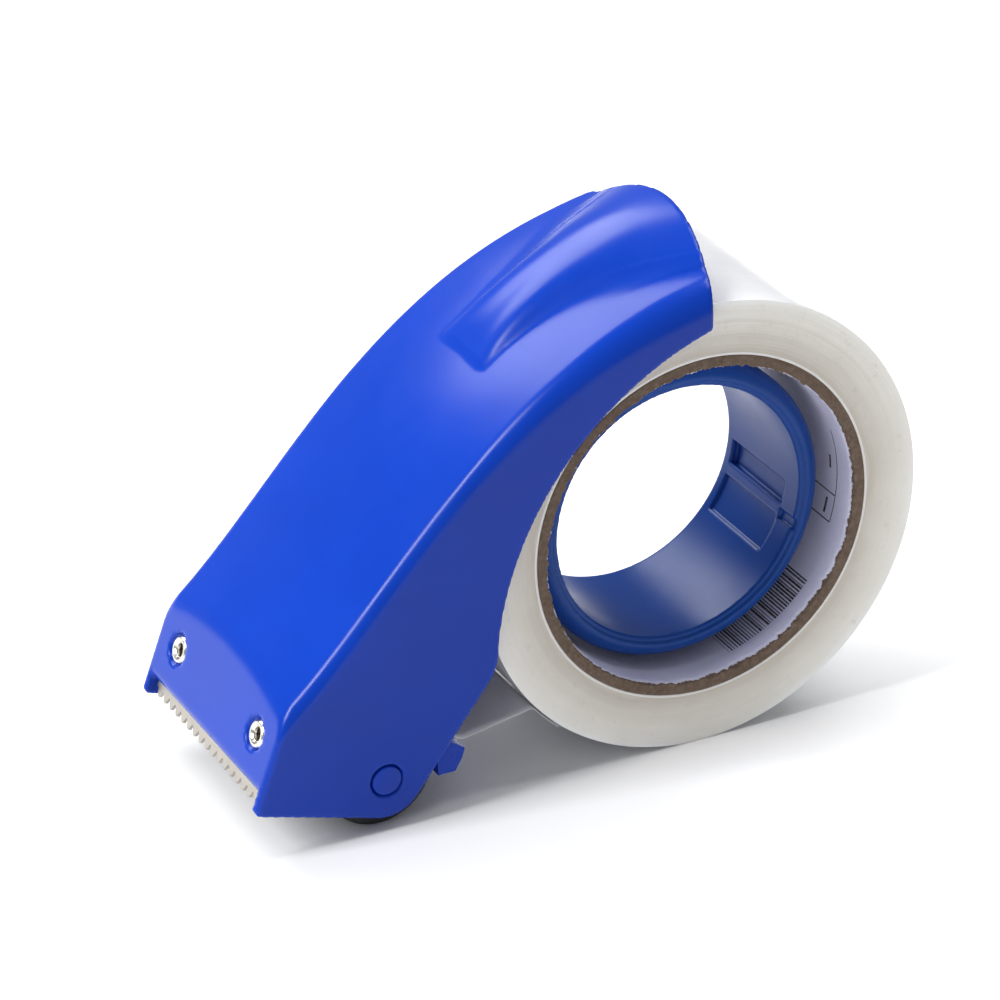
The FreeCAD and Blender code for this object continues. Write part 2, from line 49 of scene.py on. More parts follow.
ROLL_LOW, ROLL_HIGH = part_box("tape_roll")
AXIS = np.array((ROLL_LOW + ROLL_HIGH) / 2.0)

# Shell: its middle plane, half width, wall and the rise of its roof in the middle
XC = -2.0
HALF = 30.75
WALL = 2.2
CROWN = 3.0
NEAR_OUT = XC + HALF
FAR_OUT = XC - HALF

# Stations along the roof: its side edge, then the hump's half width and rise above that edge
EDGE_Y = [-104.5, -96.0, -89.5, -77.2, -64.9, -52.6, -40.3, -28.1, -15.8, -3.5, 8.0]
EDGE_Z = [-22.4, -14.0, -8.2, 5.4, 19.9, 31.6, 40.9, 48.2, 53.8, 57.3, 59.3]
HUMP_Y = [-50.0, -46.0, -42.0, -36.0, -28.0, -18.0, -8.0, 2.0, 8.0]
HUMP_HALF = [9.6, 9.6, 9.6, 9.6, 10.0, 11.8, 15.2, 19.5, 22.0]
HUMP_RISE = [0.5, 2.7, 4.6, 5.9, 6.9, 7.7, 8.2, 8.5, 8.6]
HUMP_NOSE_Y = -44.5

# Front panel: s runs down it from its top edge and n runs into the shell
PANEL_TOP = (-102.3, -20.7)
PANEL_DIR = (-0.338, -0.941)
PANEL_IN = (0.941, -0.338)
LIP_S = 17.9
RIVET_S = 7.1
RIVET_X = 20.5
RIVET_RECESS_R = 3.65
RIVET_RECESS_DEPTH = 1.15
RIVET_HOLE_R = 2.1

# Press roller and the end caps of its axle
ROLLER = (-78.4, -40.7)
ROLLER_R = 12.6
AXLE_BOSS_R = 9.1
AXLE_HOLE_R = 3.5
CAP_GROOVE_R = 3.95
CAP_GROOVE_DEPTH = 0.55

# Screws through the far cheek, on an arc about the roll's axis
SCREW_REACH = 46.8
SCREW_ANGLES = (112.0, 128.0, 144.0)
SCREW_SEAT_R = 3.1
SCREW_SEAT_DEPTH = 1.5
SCREW_HOLE_R = 1.6

# Hub, and the recesses of its bore as (start, end round the bore, start, end along X)
HUB = (-1.9, 0.8)
HUB_R = 35.4
HUB_BORE_R = 30.1
HUB_NEAR_X = 18.5
HUB_FAR_X = -14.5
HUB_STEP_R = 31.3
HUB_STEP_X = 17.9
HUB_WINDOW = (-7.7, -2.1, -11.5, 11.4)
HUB_WINDOW_DEPTH = 1.6
HUB_PANEL = (-19.3, -10.6, -11.5, 11.2)
HUB_PANEL_DEPTH = 0.7
HUB_NOTCH = (-10.9, -8.6, 12.0, 30.0)
HUB_NOTCH_DEPTH = 0.8

# Roll of tape on its core
CORE_R = 40.6
CORE_BORE_R = 38.1
ROLL_R = 53.3
TAPE_HALF = 25.0

# Cell size of the two field meshes
SHELL_STEP = 0.68
HUB_STEP = 0.52

# Camera: direction it looks from, lens and place about the roll's axis
CAMERA_AZIMUTH = 63.05
CAMERA_ELEVATION = 27.3
CAMERA_LENS = 168.26
CAMERA_PLACE = (805.4, -446.3, 470.2)

SHELL_BLUE = (0.0012, 0.036, 0.37)
HUB_BLUE = (0.003, 0.050, 0.27)


def placed(points):
    """Points in the frame's metres, from millimetres about the roll's axis."""
    return AXIS + 0.001 * np.asarray(points, float)


# ---------------------------------------------------------------- materials

def node_set(name):
    mat = bpy.data.materials.new(name)
    mat.use_nodes = True
    tree = mat.node_tree
    return mat, tree, tree.nodes["Principled BSDF"]


def add(tree, kind, **values):
    node = tree.nodes.new(kind)
    for key, value in values.items():
        setattr(node, key, value)
    return node


def link(tree, a, b):
    tree.links.new(a, b)


def coordinates(tree, scale=(1.0, 1.0, 1.0)):
    coord = add(tree, "ShaderNodeTexCoord")
    mapping = add(tree, "ShaderNodeMapping")
    mapping.inputs["Scale"].default_value = scale
    link(tree, coord.outputs["Object"], mapping.inputs["Vector"])
    return mapping.outputs["Vector"]


def noise(tree, vector, scale, detail=4.0, rough=0.5):
    node = add(tree, "ShaderNodeTexNoise")
    node.inputs["Scale"].default_value = scale
    node.inputs["Detail"].default_value = detail
    node.inputs["Roughness"].default_value = rough
    link(tree, vector, node.inputs["Vector"])
    return node.outputs["Fac"]


def ramp(tree, fac, stops, interpolation="LINEAR"):
    node = add(tree, "ShaderNodeValToRGB")
    node.color_ramp.interpolation = interpolation
    while len(node.color_ramp.elements) < len(stops):
        node.color_ramp.elements.new(0.5)
    for element, (place, colour) in zip(node.color_ramp.elements, stops):
        element.position = place
        element.color = (*colour, 1.0)
    link(tree, fac, node.inputs["Fac"])
    return node.outputs["Color"]


def spread(tree, fac, low, high, start=0.0, end=1.0):
    node = add(tree, "ShaderNodeMapRange")
    node.inputs["From Min"].default_value = start
    node.inputs["From Max"].default_value = end
    node.inputs["To Min"].default_value = low
    node.inputs["To Max"].default_value = high
    link(tree, fac, node.inputs["Value"])
    return node.outputs["Result"]


def maths(tree, operation, a, b=None):
    node = add(tree, "ShaderNodeMath", operation=operation)
    for socket, value in ((node.inputs[0], a), (node.inputs[1], b)):
        if value is None:
            continue
        if isinstance(value, (int, float)):
            socket.default_value = value
        else:
            link(tree, value, socket)
    return node.outputs[0]


def mixed(tree, fac, a, b, blend="MIX"):
    node = add(tree, "ShaderNodeMix", data_type="RGBA", blend_type=blend)
    if isinstance(fac, (int, float)):
        node.inputs[0].default_value = fac
    else:
        link(tree, fac, node.inputs[0])
    for socket, value in ((node.inputs[6], a), (node.inputs[7], b)):
        if isinstance(value, tuple):
            socket.default_value = (*value, 1.0)
        else:
            link(tree, value, socket)
    return node.outputs[2]


def bump(tree, shader, height, distance, strength=1.0):
    node = add(tree, "ShaderNodeBump")
    node.inputs["Strength"].default_value = strength
    node.inputs["Distance"].default_value = distance
    link(tree, height, node.inputs["Height"])
    link(tree, node.outputs["Normal"], shader.inputs["Normal"])


def tint(colour, factor):
    return tuple(min(1.0, channel * factor) for channel in colour)


def plastic(name, colour, rough=(0.20, 0.27), grain=0.000004, level=0.22, wear=1.5):
    """Moulded plastic: slow shifts of tint, faint flow marks, a fine skin and paler worn edges."""
    mat, tree, shader = node_set(name)
    vector = coordinates(tree)
    cloud = noise(tree, vector, 38.0, 3.0)
    base = ramp(tree, cloud, [(0.3, tint(colour, 0.94)), (0.7, tint(colour, 1.05))])
    flow = noise(tree, coordinates(tree, (1.0, 0.25, 1.0)), 160.0, 5.0, 0.6)
    base = mixed(tree, spread(tree, flow, 0.0, 0.10, 0.45, 0.75), base, tint(colour, 0.88))
    geometry = add(tree, "ShaderNodeNewGeometry")
    scuff = noise(tree, vector, 900.0, 3.0)
    edge = spread(tree, geometry.outputs["Pointiness"], 0.0, 1.0, 0.53, 0.62)
    edge = maths(tree, "MULTIPLY", edge, spread(tree, scuff, 0.0, 0.45, 0.4, 0.7))
    link(tree, mixed(tree, edge, base, tint(colour, wear)), shader.inputs["Base Color"])
    patch = noise(tree, vector, 70.0, 4.0, 0.6)
    link(tree, spread(tree, patch, rough[0], rough[1], 0.3, 0.7), shader.inputs["Roughness"])
    shader.inputs["Specular IOR Level"].default_value = level
    skin = noise(tree, vector, 1400.0, 2.0)
    bump(tree, shader, skin, grain)
    return mat


def metal(name, colour, rough=(0.22, 0.38), stretch=(1.0, 1.0, 1.0), grain=0.00001):
    """Bright steel with drawn lines along one direction and a little staining."""
    mat, tree, shader = node_set(name)
    shader.inputs["Metallic"].default_value = 1.0
    lines = noise(tree, coordinates(tree, stretch), 1500.0, 4.0, 0.65)
    stain = noise(tree, coordinates(tree), 160.0, 4.0)
    base = ramp(tree, lines, [(0.3, tint(colour, 0.82)), (0.7, tint(colour, 1.08))])
    base = mixed(tree, spread(tree, stain, 0.0, 0.3, 0.45, 0.7), base, tint(colour, 0.72))
    link(tree, base, shader.inputs["Base Color"])
    link(tree, spread(tree, lines, rough[0], rough[1], 0.3, 0.7), shader.inputs["Roughness"])
    bump(tree, shader, lines, grain)
    return mat


def radius_from_axis(tree):
    """Distance from the roll's axis and place along it in millimetres, and the angle round it in turns."""
    coord = add(tree, "ShaderNodeTexCoord")
    parts = add(tree, "ShaderNodeSeparateXYZ")
    link(tree, coord.outputs["Object"], parts.inputs[0])
    y = maths(tree, "SUBTRACT", parts.outputs[1], float(AXIS[1]))
    z = maths(tree, "SUBTRACT", parts.outputs[2], float(AXIS[2]))
    squares = maths(tree, "ADD", maths(tree, "MULTIPLY", y, y), maths(tree, "MULTIPLY", z, z))
    radius = maths(tree, "MULTIPLY", maths(tree, "SQRT", squares), 1000.0)
    angle = maths(tree, "ARCTAN2", z, y)
    turns = maths(tree, "DIVIDE", angle, 2.0 * math.pi)
    along = maths(tree, "SUBTRACT", parts.outputs[0], float(AXIS[0]))
    across = maths(tree, "MULTIPLY", along, 1000.0)
    return radius, turns, across


def joined(tree, x, y, z):
    node = add(tree, "ShaderNodeCombineXYZ")
    for socket, value in zip(node.inputs, (x, y, z)):
        if isinstance(value, (int, float)):
            socket.default_value = value
        else:
            link(tree, value, socket)
    return node.outputs[0]


def tape_face_material():
    """The roll's side: film edges seen end on, tighter and greyer near the core."""
    mat, tree, shader = node_set("tape_edges")
    radius, turns, _ = radius_from_axis(tree)
    wander = noise(tree, coordinates(tree), 45.0, 4.0, 0.55)
    shifted = maths(tree, "ADD", radius, spread(tree, wander, -1.3, 1.3, 0.3, 0.7))
    share = spread(tree, shifted, 0.0, 1.0, CORE_R, ROLL_R)
    base = ramp(tree, share, [(0.0, (0.62, 0.57, 0.50)), (0.07, (0.56, 0.51, 0.44)),
                              (0.3, (0.68, 0.64, 0.575)), (0.65, (0.80, 0.77, 0.71)),
                              (0.92, (0.87, 0.85, 0.80)), (1.0, (0.90, 0.90, 0.89))])
    layers = noise(tree, joined(tree, maths(tree, "MULTIPLY", radius, 2.6), turns, 0.0), 3.4, 3.0, 0.7)
    base = mixed(tree, spread(tree, layers, 0.0, 0.22, 0.42, 0.75), base, (0.93, 0.91, 0.88))
    grime = noise(tree, coordinates(tree), 420.0, 4.0, 0.7)
    base = mixed(tree, spread(tree, grime, 0.0, 0.35, 0.60, 0.8), base, (0.42, 0.37, 0.31))
    ring = maths(tree, "LESS_THAN", radius, CORE_R + 0.55)
    base = mixed(tree, ring, base, (0.86, 0.84, 0.82))
    link(tree, base, shader.inputs["Base Color"])
    link(tree, spread(tree, layers, 0.34, 0.55, 0.3, 0.7), shader.inputs["Roughness"])
    shader.inputs["Subsurface Weight"].default_value = 0.25
    shader.inputs["Subsurface Radius"].default_value = (1.0, 0.9, 0.8)
    shader.inputs["Subsurface Scale"].default_value = 0.0015
    shader.inputs["Specular IOR Level"].default_value = 0.4
    bump(tree, shader, layers, 0.00006, 0.8)
    return mat


def tape_film_material():
    """The roll's outside: clear film over many layers, so nearly white with a soft shine."""
    mat, tree, shader = node_set("tape_outside")
    slow = noise(tree, coordinates(tree, (1.0, 0.5, 0.5)), 55.0, 4.0, 0.5)
    base = ramp(tree, slow, [(0.3, (0.76, 0.76, 0.79)), (0.7, (0.84, 0.835, 0.85))])
    streak = noise(tree, coordinates(tree, (1.0, 0.06, 0.06)), 700.0, 3.0, 0.6)
    base = mixed(tree, spread(tree, streak, 0.0, 0.25, 0.5, 0.8), base, (0.90, 0.90, 0.91))
    link(tree, base, shader.inputs["Base Color"])
    link(tree, spread(tree, slow, 0.14, 0.26, 0.3, 0.7), shader.inputs["Roughness"])
    shader.inputs["Subsurface Weight"].default_value = 0.3
    shader.inputs["Subsurface Radius"].default_value = (1.0, 0.95, 0.9)
    shader.inputs["Subsurface Scale"].default_value = 0.002
    shader.inputs["Coat Weight"].default_value = 0.35
    shader.inputs["Coat Roughness"].default_value = 0.08
    bump(tree, shader, streak, 0.00003, 0.6)
    return mat


def web_material():
    """Single clear film, with faint stretch bands across its length."""
    mat, tree, shader = node_set("tape_single")
    bands = noise(tree, coordinates(tree, (0.1, 1.0, 1.0)), 260.0, 3.0, 0.6)
    base = ramp(tree, bands, [(0.35, (0.80, 0.80, 0.83)), (0.65, (0.92, 0.92, 0.94))])
    link(tree, base, shader.inputs["Base Color"])
    link(tree, spread(tree, bands, 0.10, 0.22, 0.3, 0.7), shader.inputs["Roughness"])
    link(tree, spread(tree, bands, 0.90, 0.72, 0.3, 0.7), shader.inputs["Alpha"])
    bump(tree, shader, bands, 0.00008, 0.7)
    return mat


def cardboard_material():
    """Grey-brown board: wound plies on the end and fibres everywhere."""
    mat, tree, shader = node_set("core_board")
    radius, turns, _ = radius_from_axis(tree)
    vector = coordinates(tree)
    fibre = noise(tree, vector, 900.0, 6.0, 0.75)
    blotch = noise(tree, vector, 150.0, 4.0, 0.6)
    base = ramp(tree, fibre, [(0.25, (0.085, 0.058, 0.042)), (0.5, (0.155, 0.110, 0.082)),
                              (0.72, (0.235, 0.175, 0.135))])
    base = mixed(tree, spread(tree, blotch, 0.0, 0.45, 0.4, 0.7), base, (0.20, 0.150, 0.118))
    ply = noise(tree, joined(tree, radius, maths(tree, "MULTIPLY", turns, 3.0), 0.0), 3.0, 2.0, 0.6)
    base = mixed(tree, spread(tree, ply, 0.0, 0.35, 0.5, 0.7), base, (0.105, 0.072, 0.052))
    link(tree, base, shader.inputs["Base Color"])
    shader.inputs["Roughness"].default_value = 0.9
    shader.inputs["Specular IOR Level"].default_value = 0.15
    height = maths(tree, "ADD", fibre, maths(tree, "MULTIPLY", ply, 0.6))
    bump(tree, shader, height, 0.00022, 0.9)
    return mat


def between(tree, value, low, high):
    above = maths(tree, "GREATER_THAN", value, low)
    return maths(tree, "MULTIPLY", above, maths(tree, "LESS_THAN", value, high))


def either(tree, *masks):
    total = masks[0]
    for mask in masks[1:]:
        total = maths(tree, "MAXIMUM", total, mask)
    return total


def label_material():
    """White paper liner with a block of plain bars and a thin ruled frame, and no lettering."""
    mat, tree, shader = node_set("label_print")
    _, turns, across = radius_from_axis(tree)
    degrees = maths(tree, "MULTIPLY", turns, 360.0)
    vector = coordinates(tree)
    cloud = noise(tree, vector, 90.0, 4.0, 0.6)
    base = ramp(tree, cloud, [(0.3, (0.64, 0.63, 0.78)), (0.7, (0.75, 0.745, 0.88))])
    fibre = noise(tree, vector, 1300.0, 4.0, 0.7)
    base = mixed(tree, spread(tree, fibre, 0.0, 0.2, 0.5, 0.8), base, (0.46, 0.45, 0.58))
    cells = maths(tree, "MULTIPLY", degrees, 0.92)
    step = add(tree, "ShaderNodeTexWhiteNoise", noise_dimensions="1D")
    link(tree, maths(tree, "FLOOR", cells), step.inputs["W"])
    width = spread(tree, step.outputs["Value"], 0.22, 0.78)
    stripes = maths(tree, "LESS_THAN", maths(tree, "FRACT", cells), width)
    block = maths(tree, "MULTIPLY", between(tree, degrees, -73.8, -37.4), between(tree, across, 3.0, 19.4))
    bars = maths(tree, "MULTIPLY", stripes, block)
    thin = 0.16
    far_line = maths(tree, "MULTIPLY", between(tree, across, 17.5, 17.5 + 2.0 * thin),
                     between(tree, degrees, -16.2, 19.0))
    low_line = maths(tree, "MULTIPLY", between(tree, degrees, -16.6, -16.1), between(tree, across, 2.0, 17.7))
    mid_line = maths(tree, "MULTIPLY", between(tree, degrees, -7.0, -6.5), between(tree, across, 2.0, 17.7))
    dash = maths(tree, "MULTIPLY", between(tree, degrees, -14.6, -9.0), between(tree, across, 14.2, 15.0))
    far_dash = maths(tree, "MULTIPLY", between(tree, degrees, 2.0, 7.0), between(tree, across, 14.4, 15.1))
    ink = either(tree, bars, far_line, low_line, mid_line, dash, far_dash)
    faded = maths(tree, "MULTIPLY", ink, spread(tree, fibre, 0.78, 1.0, 0.3, 0.6))
    link(tree, mixed(tree, faded, base, (0.012, 0.011, 0.013)), shader.inputs["Base Color"])
    link(tree, spread(tree, cloud, 0.45, 0.62, 0.3, 0.7), shader.inputs["Roughness"])
    shader.inputs["Specular IOR Level"].default_value = 0.3
    bump(tree, shader, fibre, 0.00004, 0.6)
    return mat


def rubber_material():
    """Black rubber with fine specks and a little pale dust."""
    mat, tree, shader = node_set("black_rubber")
    vector = coordinates(tree)
    speck = noise(tree, vector, 1100.0, 4.0, 0.7)
    dust = noise(tree, vector, 130.0, 4.0, 0.6)
    base = ramp(tree, speck, [(0.3, (0.006, 0.006, 0.007)), (0.7, (0.018, 0.018, 0.020))])
    base = mixed(tree, spread(tree, dust, 0.0, 0.25, 0.55, 0.8), base, (0.05, 0.05, 0.052))
    link(tree, base, shader.inputs["Base Color"])
    link(tree, spread(tree, dust, 0.45, 0.7, 0.3, 0.7), shader.inputs["Roughness"])
    bump(tree, shader, speck, 0.00006, 0.8)
    return mat


def floor_material():
    mat, tree, shader = node_set("studio_floor")
    cloud = noise(tree, coordinates(tree), 3.0, 2.0)
    base = ramp(tree, cloud, [(0.3, (0.86, 0.86, 0.86)), (0.7, (0.88, 0.88, 0.88))])
    link(tree, base, shader.inputs["Base Color"])
    shader.inputs["Roughness"].default_value = 0.9
    shader.inputs["Specular IOR Level"].default_value = 0.0
    return mat


# ---------------------------------------------------------------- mesh helpers

def new_piece(name, points, faces, body, material, replaced):
    """One visible piece, drawn in millimetres about the roll's axis."""
    mesh = bpy.data.meshes.new(name)
    mesh.from_pydata(placed(points).tolist(), [], [tuple(face) for face in faces])
    mesh.update()
    mesh.shade_smooth()
    piece = bpy.data.objects.new(name, mesh)
    bpy.context.scene.collection.objects.link(piece)
    mesh.materials.append(material)
    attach(piece, body)
    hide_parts(*replaced)
    return piece


def rounded(corners, radii, steps=5):
    """A closed outline with each corner turned into a small arc."""
    outline = []
    count = len(corners)
    for i, corner in enumerate(corners):
        p = np.array(corner, float)
        a = np.array(corners[i - 1], float) - p
        b = np.array(corners[(i + 1) % count], float) - p
        la, lb = np.linalg.norm(a), np.linalg.norm(b)
        a, b = a / la, b / lb
        half = 0.5 * math.acos(max(-1.0, min(1.0, float(a @ b))))
        radius = radii[i]
        if radius <= 0.0 or half > 1.55:
            outline.append(p)
            continue
        reach = radius / math.tan(half)
        centre = p + (a + b) / np.linalg.norm(a + b) * radius / math.sin(half)
        start, end = p + a * reach - centre, p + b * reach - centre
        turn = math.atan2(start[0] * end[1] - start[1] * end[0], float(start @ end))
        for k in range(steps + 1):
            t = turn * k / steps
            c, s = math.cos(t), math.sin(t)
            outline.append(centre + np.array([c * start[0] - s * start[1], s * start[0] + c * start[1]]))
    return np.array(outline)


def densify(outline, longest):
    """Adds points along the long runs of a closed outline."""
    out = []
    for i in range(len(outline)):
        a, b = outline[i], outline[(i + 1) % len(outline)]
        pieces = max(1, int(math.ceil(np.linalg.norm(b - a) / longest)))
        out.extend(a + (b - a) * k / pieces for k in range(pieces))
    return np.array(out)


def ring_faces(rows, columns):
    """Quads of a surface whose rows wrap round the axis and whose columns run round a closed outline."""
    faces = []
    for i in range(rows):
        ni = (i + 1) % rows
        for j in range(columns):
            nj = (j + 1) % columns
            faces.append((i * columns + j, ni * columns + j, ni * columns + nj, i * columns + nj))
    return faces


def lathe(outline, segments, centre=(0.0, 0.0)):
    """Turns an (x, radius) outline about an axis along X."""
    points = []
    for i in range(segments):
        a = 2.0 * math.pi * i / segments
        c, s = math.cos(a), math.sin(a)
        points.extend((x, centre[0] + r * c, centre[1] + r * s) for x, r in outline)
    return np.array(points), ring_faces(segments, len(outline))


def wave_round(angles, seed, counts, sizes):
    """Uneven but closed wave round a circle."""
    rng = np.random.default_rng(seed)
    total = np.zeros_like(angles)
    for count, size in zip(counts, sizes):
        for k in range(4):
            swept = (count + k * (1 + count // 5)) * angles
            total += 0.5 * size * np.sin(swept + rng.uniform(0.0, 2.0 * math.pi))
    return total


# ---------------------------------------------------------------- distance fields

def both(a, b, radius):
    """What lies inside a and b, with the edge between them rounded."""
    outside = np.hypot(np.maximum(a + radius, 0.0), np.maximum(b + radius, 0.0))
    return np.minimum(np.maximum(a, b), -radius) + outside


def merged(a, b, softness):
    """a and b joined, with a soft fillet where they meet."""
    h = np.maximum(softness - np.abs(a - b), 0.0) / softness
    return np.minimum(a, b) - 0.25 * softness * h * h


def outline_distance(y, z, outline):
    """Signed distance from a closed outline, negative inside."""
    best = np.full(np.broadcast(y, z).shape, 1e9)
    inside = np.zeros(best.shape, bool)
    for i in range(len(outline)):
        ay, az = outline[i - 1]
        by, bz = outline[i]
        ey, ez = by - ay, bz - az
        t = np.clip(((y - ay) * ey + (z - az) * ez) / (ey * ey + ez * ez + 1e-12), 0.0, 1.0)
        best = np.minimum(best, (y - ay - ey * t) ** 2 + (z - az - ez * t) ** 2)
        if az != bz:
            crosses = ((az > z) != (bz > z)) & (y < ay + (z - az) * ey / ez)
            inside ^= crosses
    return np.where(inside, -1.0, 1.0) * np.sqrt(best)


def surface_net(field, low, high, step):
    """Quad mesh of the zero surface of a field, with its points pulled exactly onto it."""
    axes = [np.arange(low[i], high[i] + step, step) for i in range(3)]
    values = field(axes[0][:, None, None], axes[1][None, :, None], axes[2][None, None, :])
    values = np.asarray(values, np.float32)
    inside = values < 0.0
    count = np.zeros(tuple(n - 1 for n in values.shape), np.int8)
    shifts = [(i, j, k) for i in (0, 1) for j in (0, 1) for k in (0, 1)]
    for i, j, k in shifts:
        count += inside[i:values.shape[0] - 1 + i, j:values.shape[1] - 1 + j, k:values.shape[2] - 1 + k]
    active = (count > 0) & (count < 8)
    cells = np.argwhere(active)
    index = np.full(active.shape, -1, np.int64)
    index[active] = np.arange(len(cells))
    corner = {s: values[cells[:, 0] + s[0], cells[:, 1] + s[1], cells[:, 2] + s[2]] for s in shifts}
    total = np.zeros((len(cells), 3))
    hits = np.zeros(len(cells))
    for a in shifts:
        for axis in range(3):
            if a[axis]:
                continue
            b = tuple(1 if i == axis else a[i] for i in range(3))
            va, vb = corner[a], corner[b]
            cut = (va < 0.0) != (vb < 0.0)
            t = np.where(cut, va / np.where(cut, va - vb, 1.0), 0.0)
            for i in range(3):
                total[:, i] += np.where(cut, a[i] + (t if i == axis else 0.0), 0.0)
            hits += cut
    points = np.stack([axes[i][0] + step * (cells[:, i] + total[:, i] / hits) for i in range(3)], 1)
    faces = []
    for axis in range(3):
        b, c = (axis + 1) % 3, (axis + 2) % 3
        first = np.moveaxis(inside, axis, 0)
        differs = first[:-1] != first[1:]
        spots = np.argwhere(np.moveaxis(differs, 0, axis))
        spots = spots[(spots[:, b] > 0) & (spots[:, c] > 0)]
        limit = np.array(active.shape)
        spots = spots[(spots[:, b] < limit[b]) & (spots[:, c] < limit[c])]
        quad = []
        for db, dc in ((0, 0), (1, 0), (1, 1), (0, 1)):
            cell = spots.copy()
            cell[:, b] -= db
            cell[:, c] -= dc
            quad.append(index[cell[:, 0], cell[:, 1], cell[:, 2]])
        quad = np.stack(quad, 1)
        flip = ~inside[spots[:, 0], spots[:, 1], spots[:, 2]]
        quad[flip] = quad[flip][:, ::-1]
        faces.append(quad)
    return settle(field, points, step), np.concatenate(faces)


def settle(field, points, step, rounds=3):
    """Moves points along the field's slope onto its zero surface, a little at a time."""
    delta = 0.02
    for _ in range(rounds):
        x, y, z = points.T
        here = field(x, y, z)
        slope = np.stack([field(x + delta, y, z) - field(x - delta, y, z),
                          field(x, y + delta, z) - field(x, y - delta, z),
                          field(x, y, z + delta) - field(x, y, z - delta)], 1) / (2.0 * delta)
        size = np.maximum((slope ** 2).sum(1), 0.09)
        move = -(here / size)[:, None] * slope
        length = np.maximum(np.linalg.norm(move, axis=1, keepdims=True), 1e-9)
        points = points + move * np.minimum(1.0, 0.3 * step / length)
    return points


# ---------------------------------------------------------------- shell

def fitted(ys, zs, degree):
    """Smooth curve close to the given stations, on a scaled variable."""
    middle, span = 0.5 * (ys[0] + ys[-1]), 0.5 * (ys[-1] - ys[0])
    terms = np.polyfit((np.array(ys) - middle) / span, zs, degree)
    return lambda y: np.polyval(terms, (y - middle) / span)


edge_curve = fitted(EDGE_Y, EDGE_Z, 5)
half_curve = fitted(HUMP_Y, HUMP_HALF, 4)
rise_curve = fitted(HUMP_Y, HUMP_RISE, 5)
EDGE_START = -104.5
EDGE_SLOPE = 0.96


def roof_edge(y):
    """Height of the roof's side edge, carried on straight in front of its first station."""
    held = np.maximum(y, EDGE_START)
    return edge_curve(held) + EDGE_SLOPE * (y - held)


def plain_roof(dx, y):
    return roof_edge(y) + CROWN * (1.0 - (dx / HALF) ** 2)


def hump_shape(dx, y, z):
    """Below 1 inside the hump, above 1 outside it."""
    held = np.clip(y, -50.0, 6.0)
    rise = np.maximum(rise_curve(held), 0.5)
    half = half_curve(held)
    height = (z - roof_edge(y) - 2.0 * np.minimum(dx / half, 1.0) ** 2) / rise
    share = np.clip((y + 42.0) / 36.0, 0.0, 1.0)
    return (dx / half) ** (3.0 - share) + np.maximum(height, 0.0) ** (1.6 - 0.45 * share)


def graded(function, *at):
    """A field divided by its own steepness, so that it reads as a distance."""
    delta = 0.05
    total = 0.0
    for i in range(len(at)):
        up, down = list(at), list(at)
        up[i] = at[i] + delta
        down[i] = at[i] - delta
        total = total + ((function(*up) - function(*down)) / (2.0 * delta)) ** 2
    return np.sqrt(total)


def tangent(point, centre, radius, side):
    """Where the line from a point touches a circle, on the given side."""
    dy, dz = point[0] - centre[0], point[1] - centre[1]
    reach = math.hypot(dy, dz)
    angle = math.atan2(dz, dy) - side * math.acos(radius / reach)
    return centre[0] + radius * math.cos(angle), centre[1] + radius * math.sin(angle)


def arc_through(a, b, c, steps):
    """Points on the circle through a, b and c, from a to c."""
    (ax, ay), (bx, by), (cx, cy) = a, b, c
    d = 2.0 * (ax * (by - cy) + bx * (cy - ay) + cx * (ay - by))
    sa, sb, sc = ax * ax + ay * ay, bx * bx + by * by, cx * cx + cy * cy
    ox = (sa * (by - cy) + sb * (cy - ay) + sc * (ay - by)) / d
    oy = (sa * (cx - bx) + sb * (ax - cx) + sc * (bx - ax)) / d
    start = math.atan2(ay - oy, ax - ox)
    way = math.atan2(by - oy, bx - ox)
    end = math.atan2(cy - oy, cx - ox)
    turn = (end - start) % (2.0 * math.pi)
    if (way - start) % (2.0 * math.pi) > turn:
        turn -= 2.0 * math.pi
    radius = math.hypot(ax - ox, ay - oy)
    angles = [start + turn * k / steps for k in range(steps + 1)]
    return [(ox + radius * math.cos(angle), oy + radius * math.sin(angle)) for angle in angles]


def side_outline():
    """Outline of the shell seen from the side, open at the top, where the roof ends it."""
    ears = [(-108.8, -38.8), (-109.3, -40.3), (-108.5, -41.7)]
    knee = (-52.0, -20.4)
    low = tangent(ears[2], ROLLER, AXLE_BOSS_R, -1.0)
    high = tangent(knee, ROLLER, AXLE_BOSS_R, 1.0)
    first = math.atan2(low[1] - ROLLER[1], low[0] - ROLLER[0])
    last = math.atan2(high[1] - ROLLER[1], high[0] - ROLLER[0])
    middle = 0.5 * (first + last)
    below = (ROLLER[0] + AXLE_BOSS_R * math.cos(middle), ROLLER[1] + AXLE_BOSS_R * math.sin(middle))
    reach = math.hypot(knee[0] - high[0], knee[1] - high[1])
    knee_in = (knee[0] - 4.0 * (knee[0] - high[0]) / reach, knee[1] - 4.0 * (knee[1] - high[1]) / reach)
    points = [(-99.0, -11.6)] + ears
    points += arc_through(low, below, high, 24)
    points += arc_through(knee_in, (knee[0] - 0.35, knee[1] + 0.15), (-51.6, -15.0), 6)
    points += arc_through((-51.6, -15.0), (-29.3, 31.8), (-1.6, 48.6), 40)[1:]
    points += arc_through((-1.6, 48.6), (0.3, 49.6), (0.6, 51.0), 5)[1:]
    return points + [(1.0, 52.4), (9.0, 53.0), (9.0, 90.0), (-99.0, 90.0)]


OUTLINE = side_outline()
SCREW_SPOTS = [(SCREW_REACH * math.cos(math.radians(a)), SCREW_REACH * math.sin(math.radians(a)))
               for a in SCREW_ANGLES]


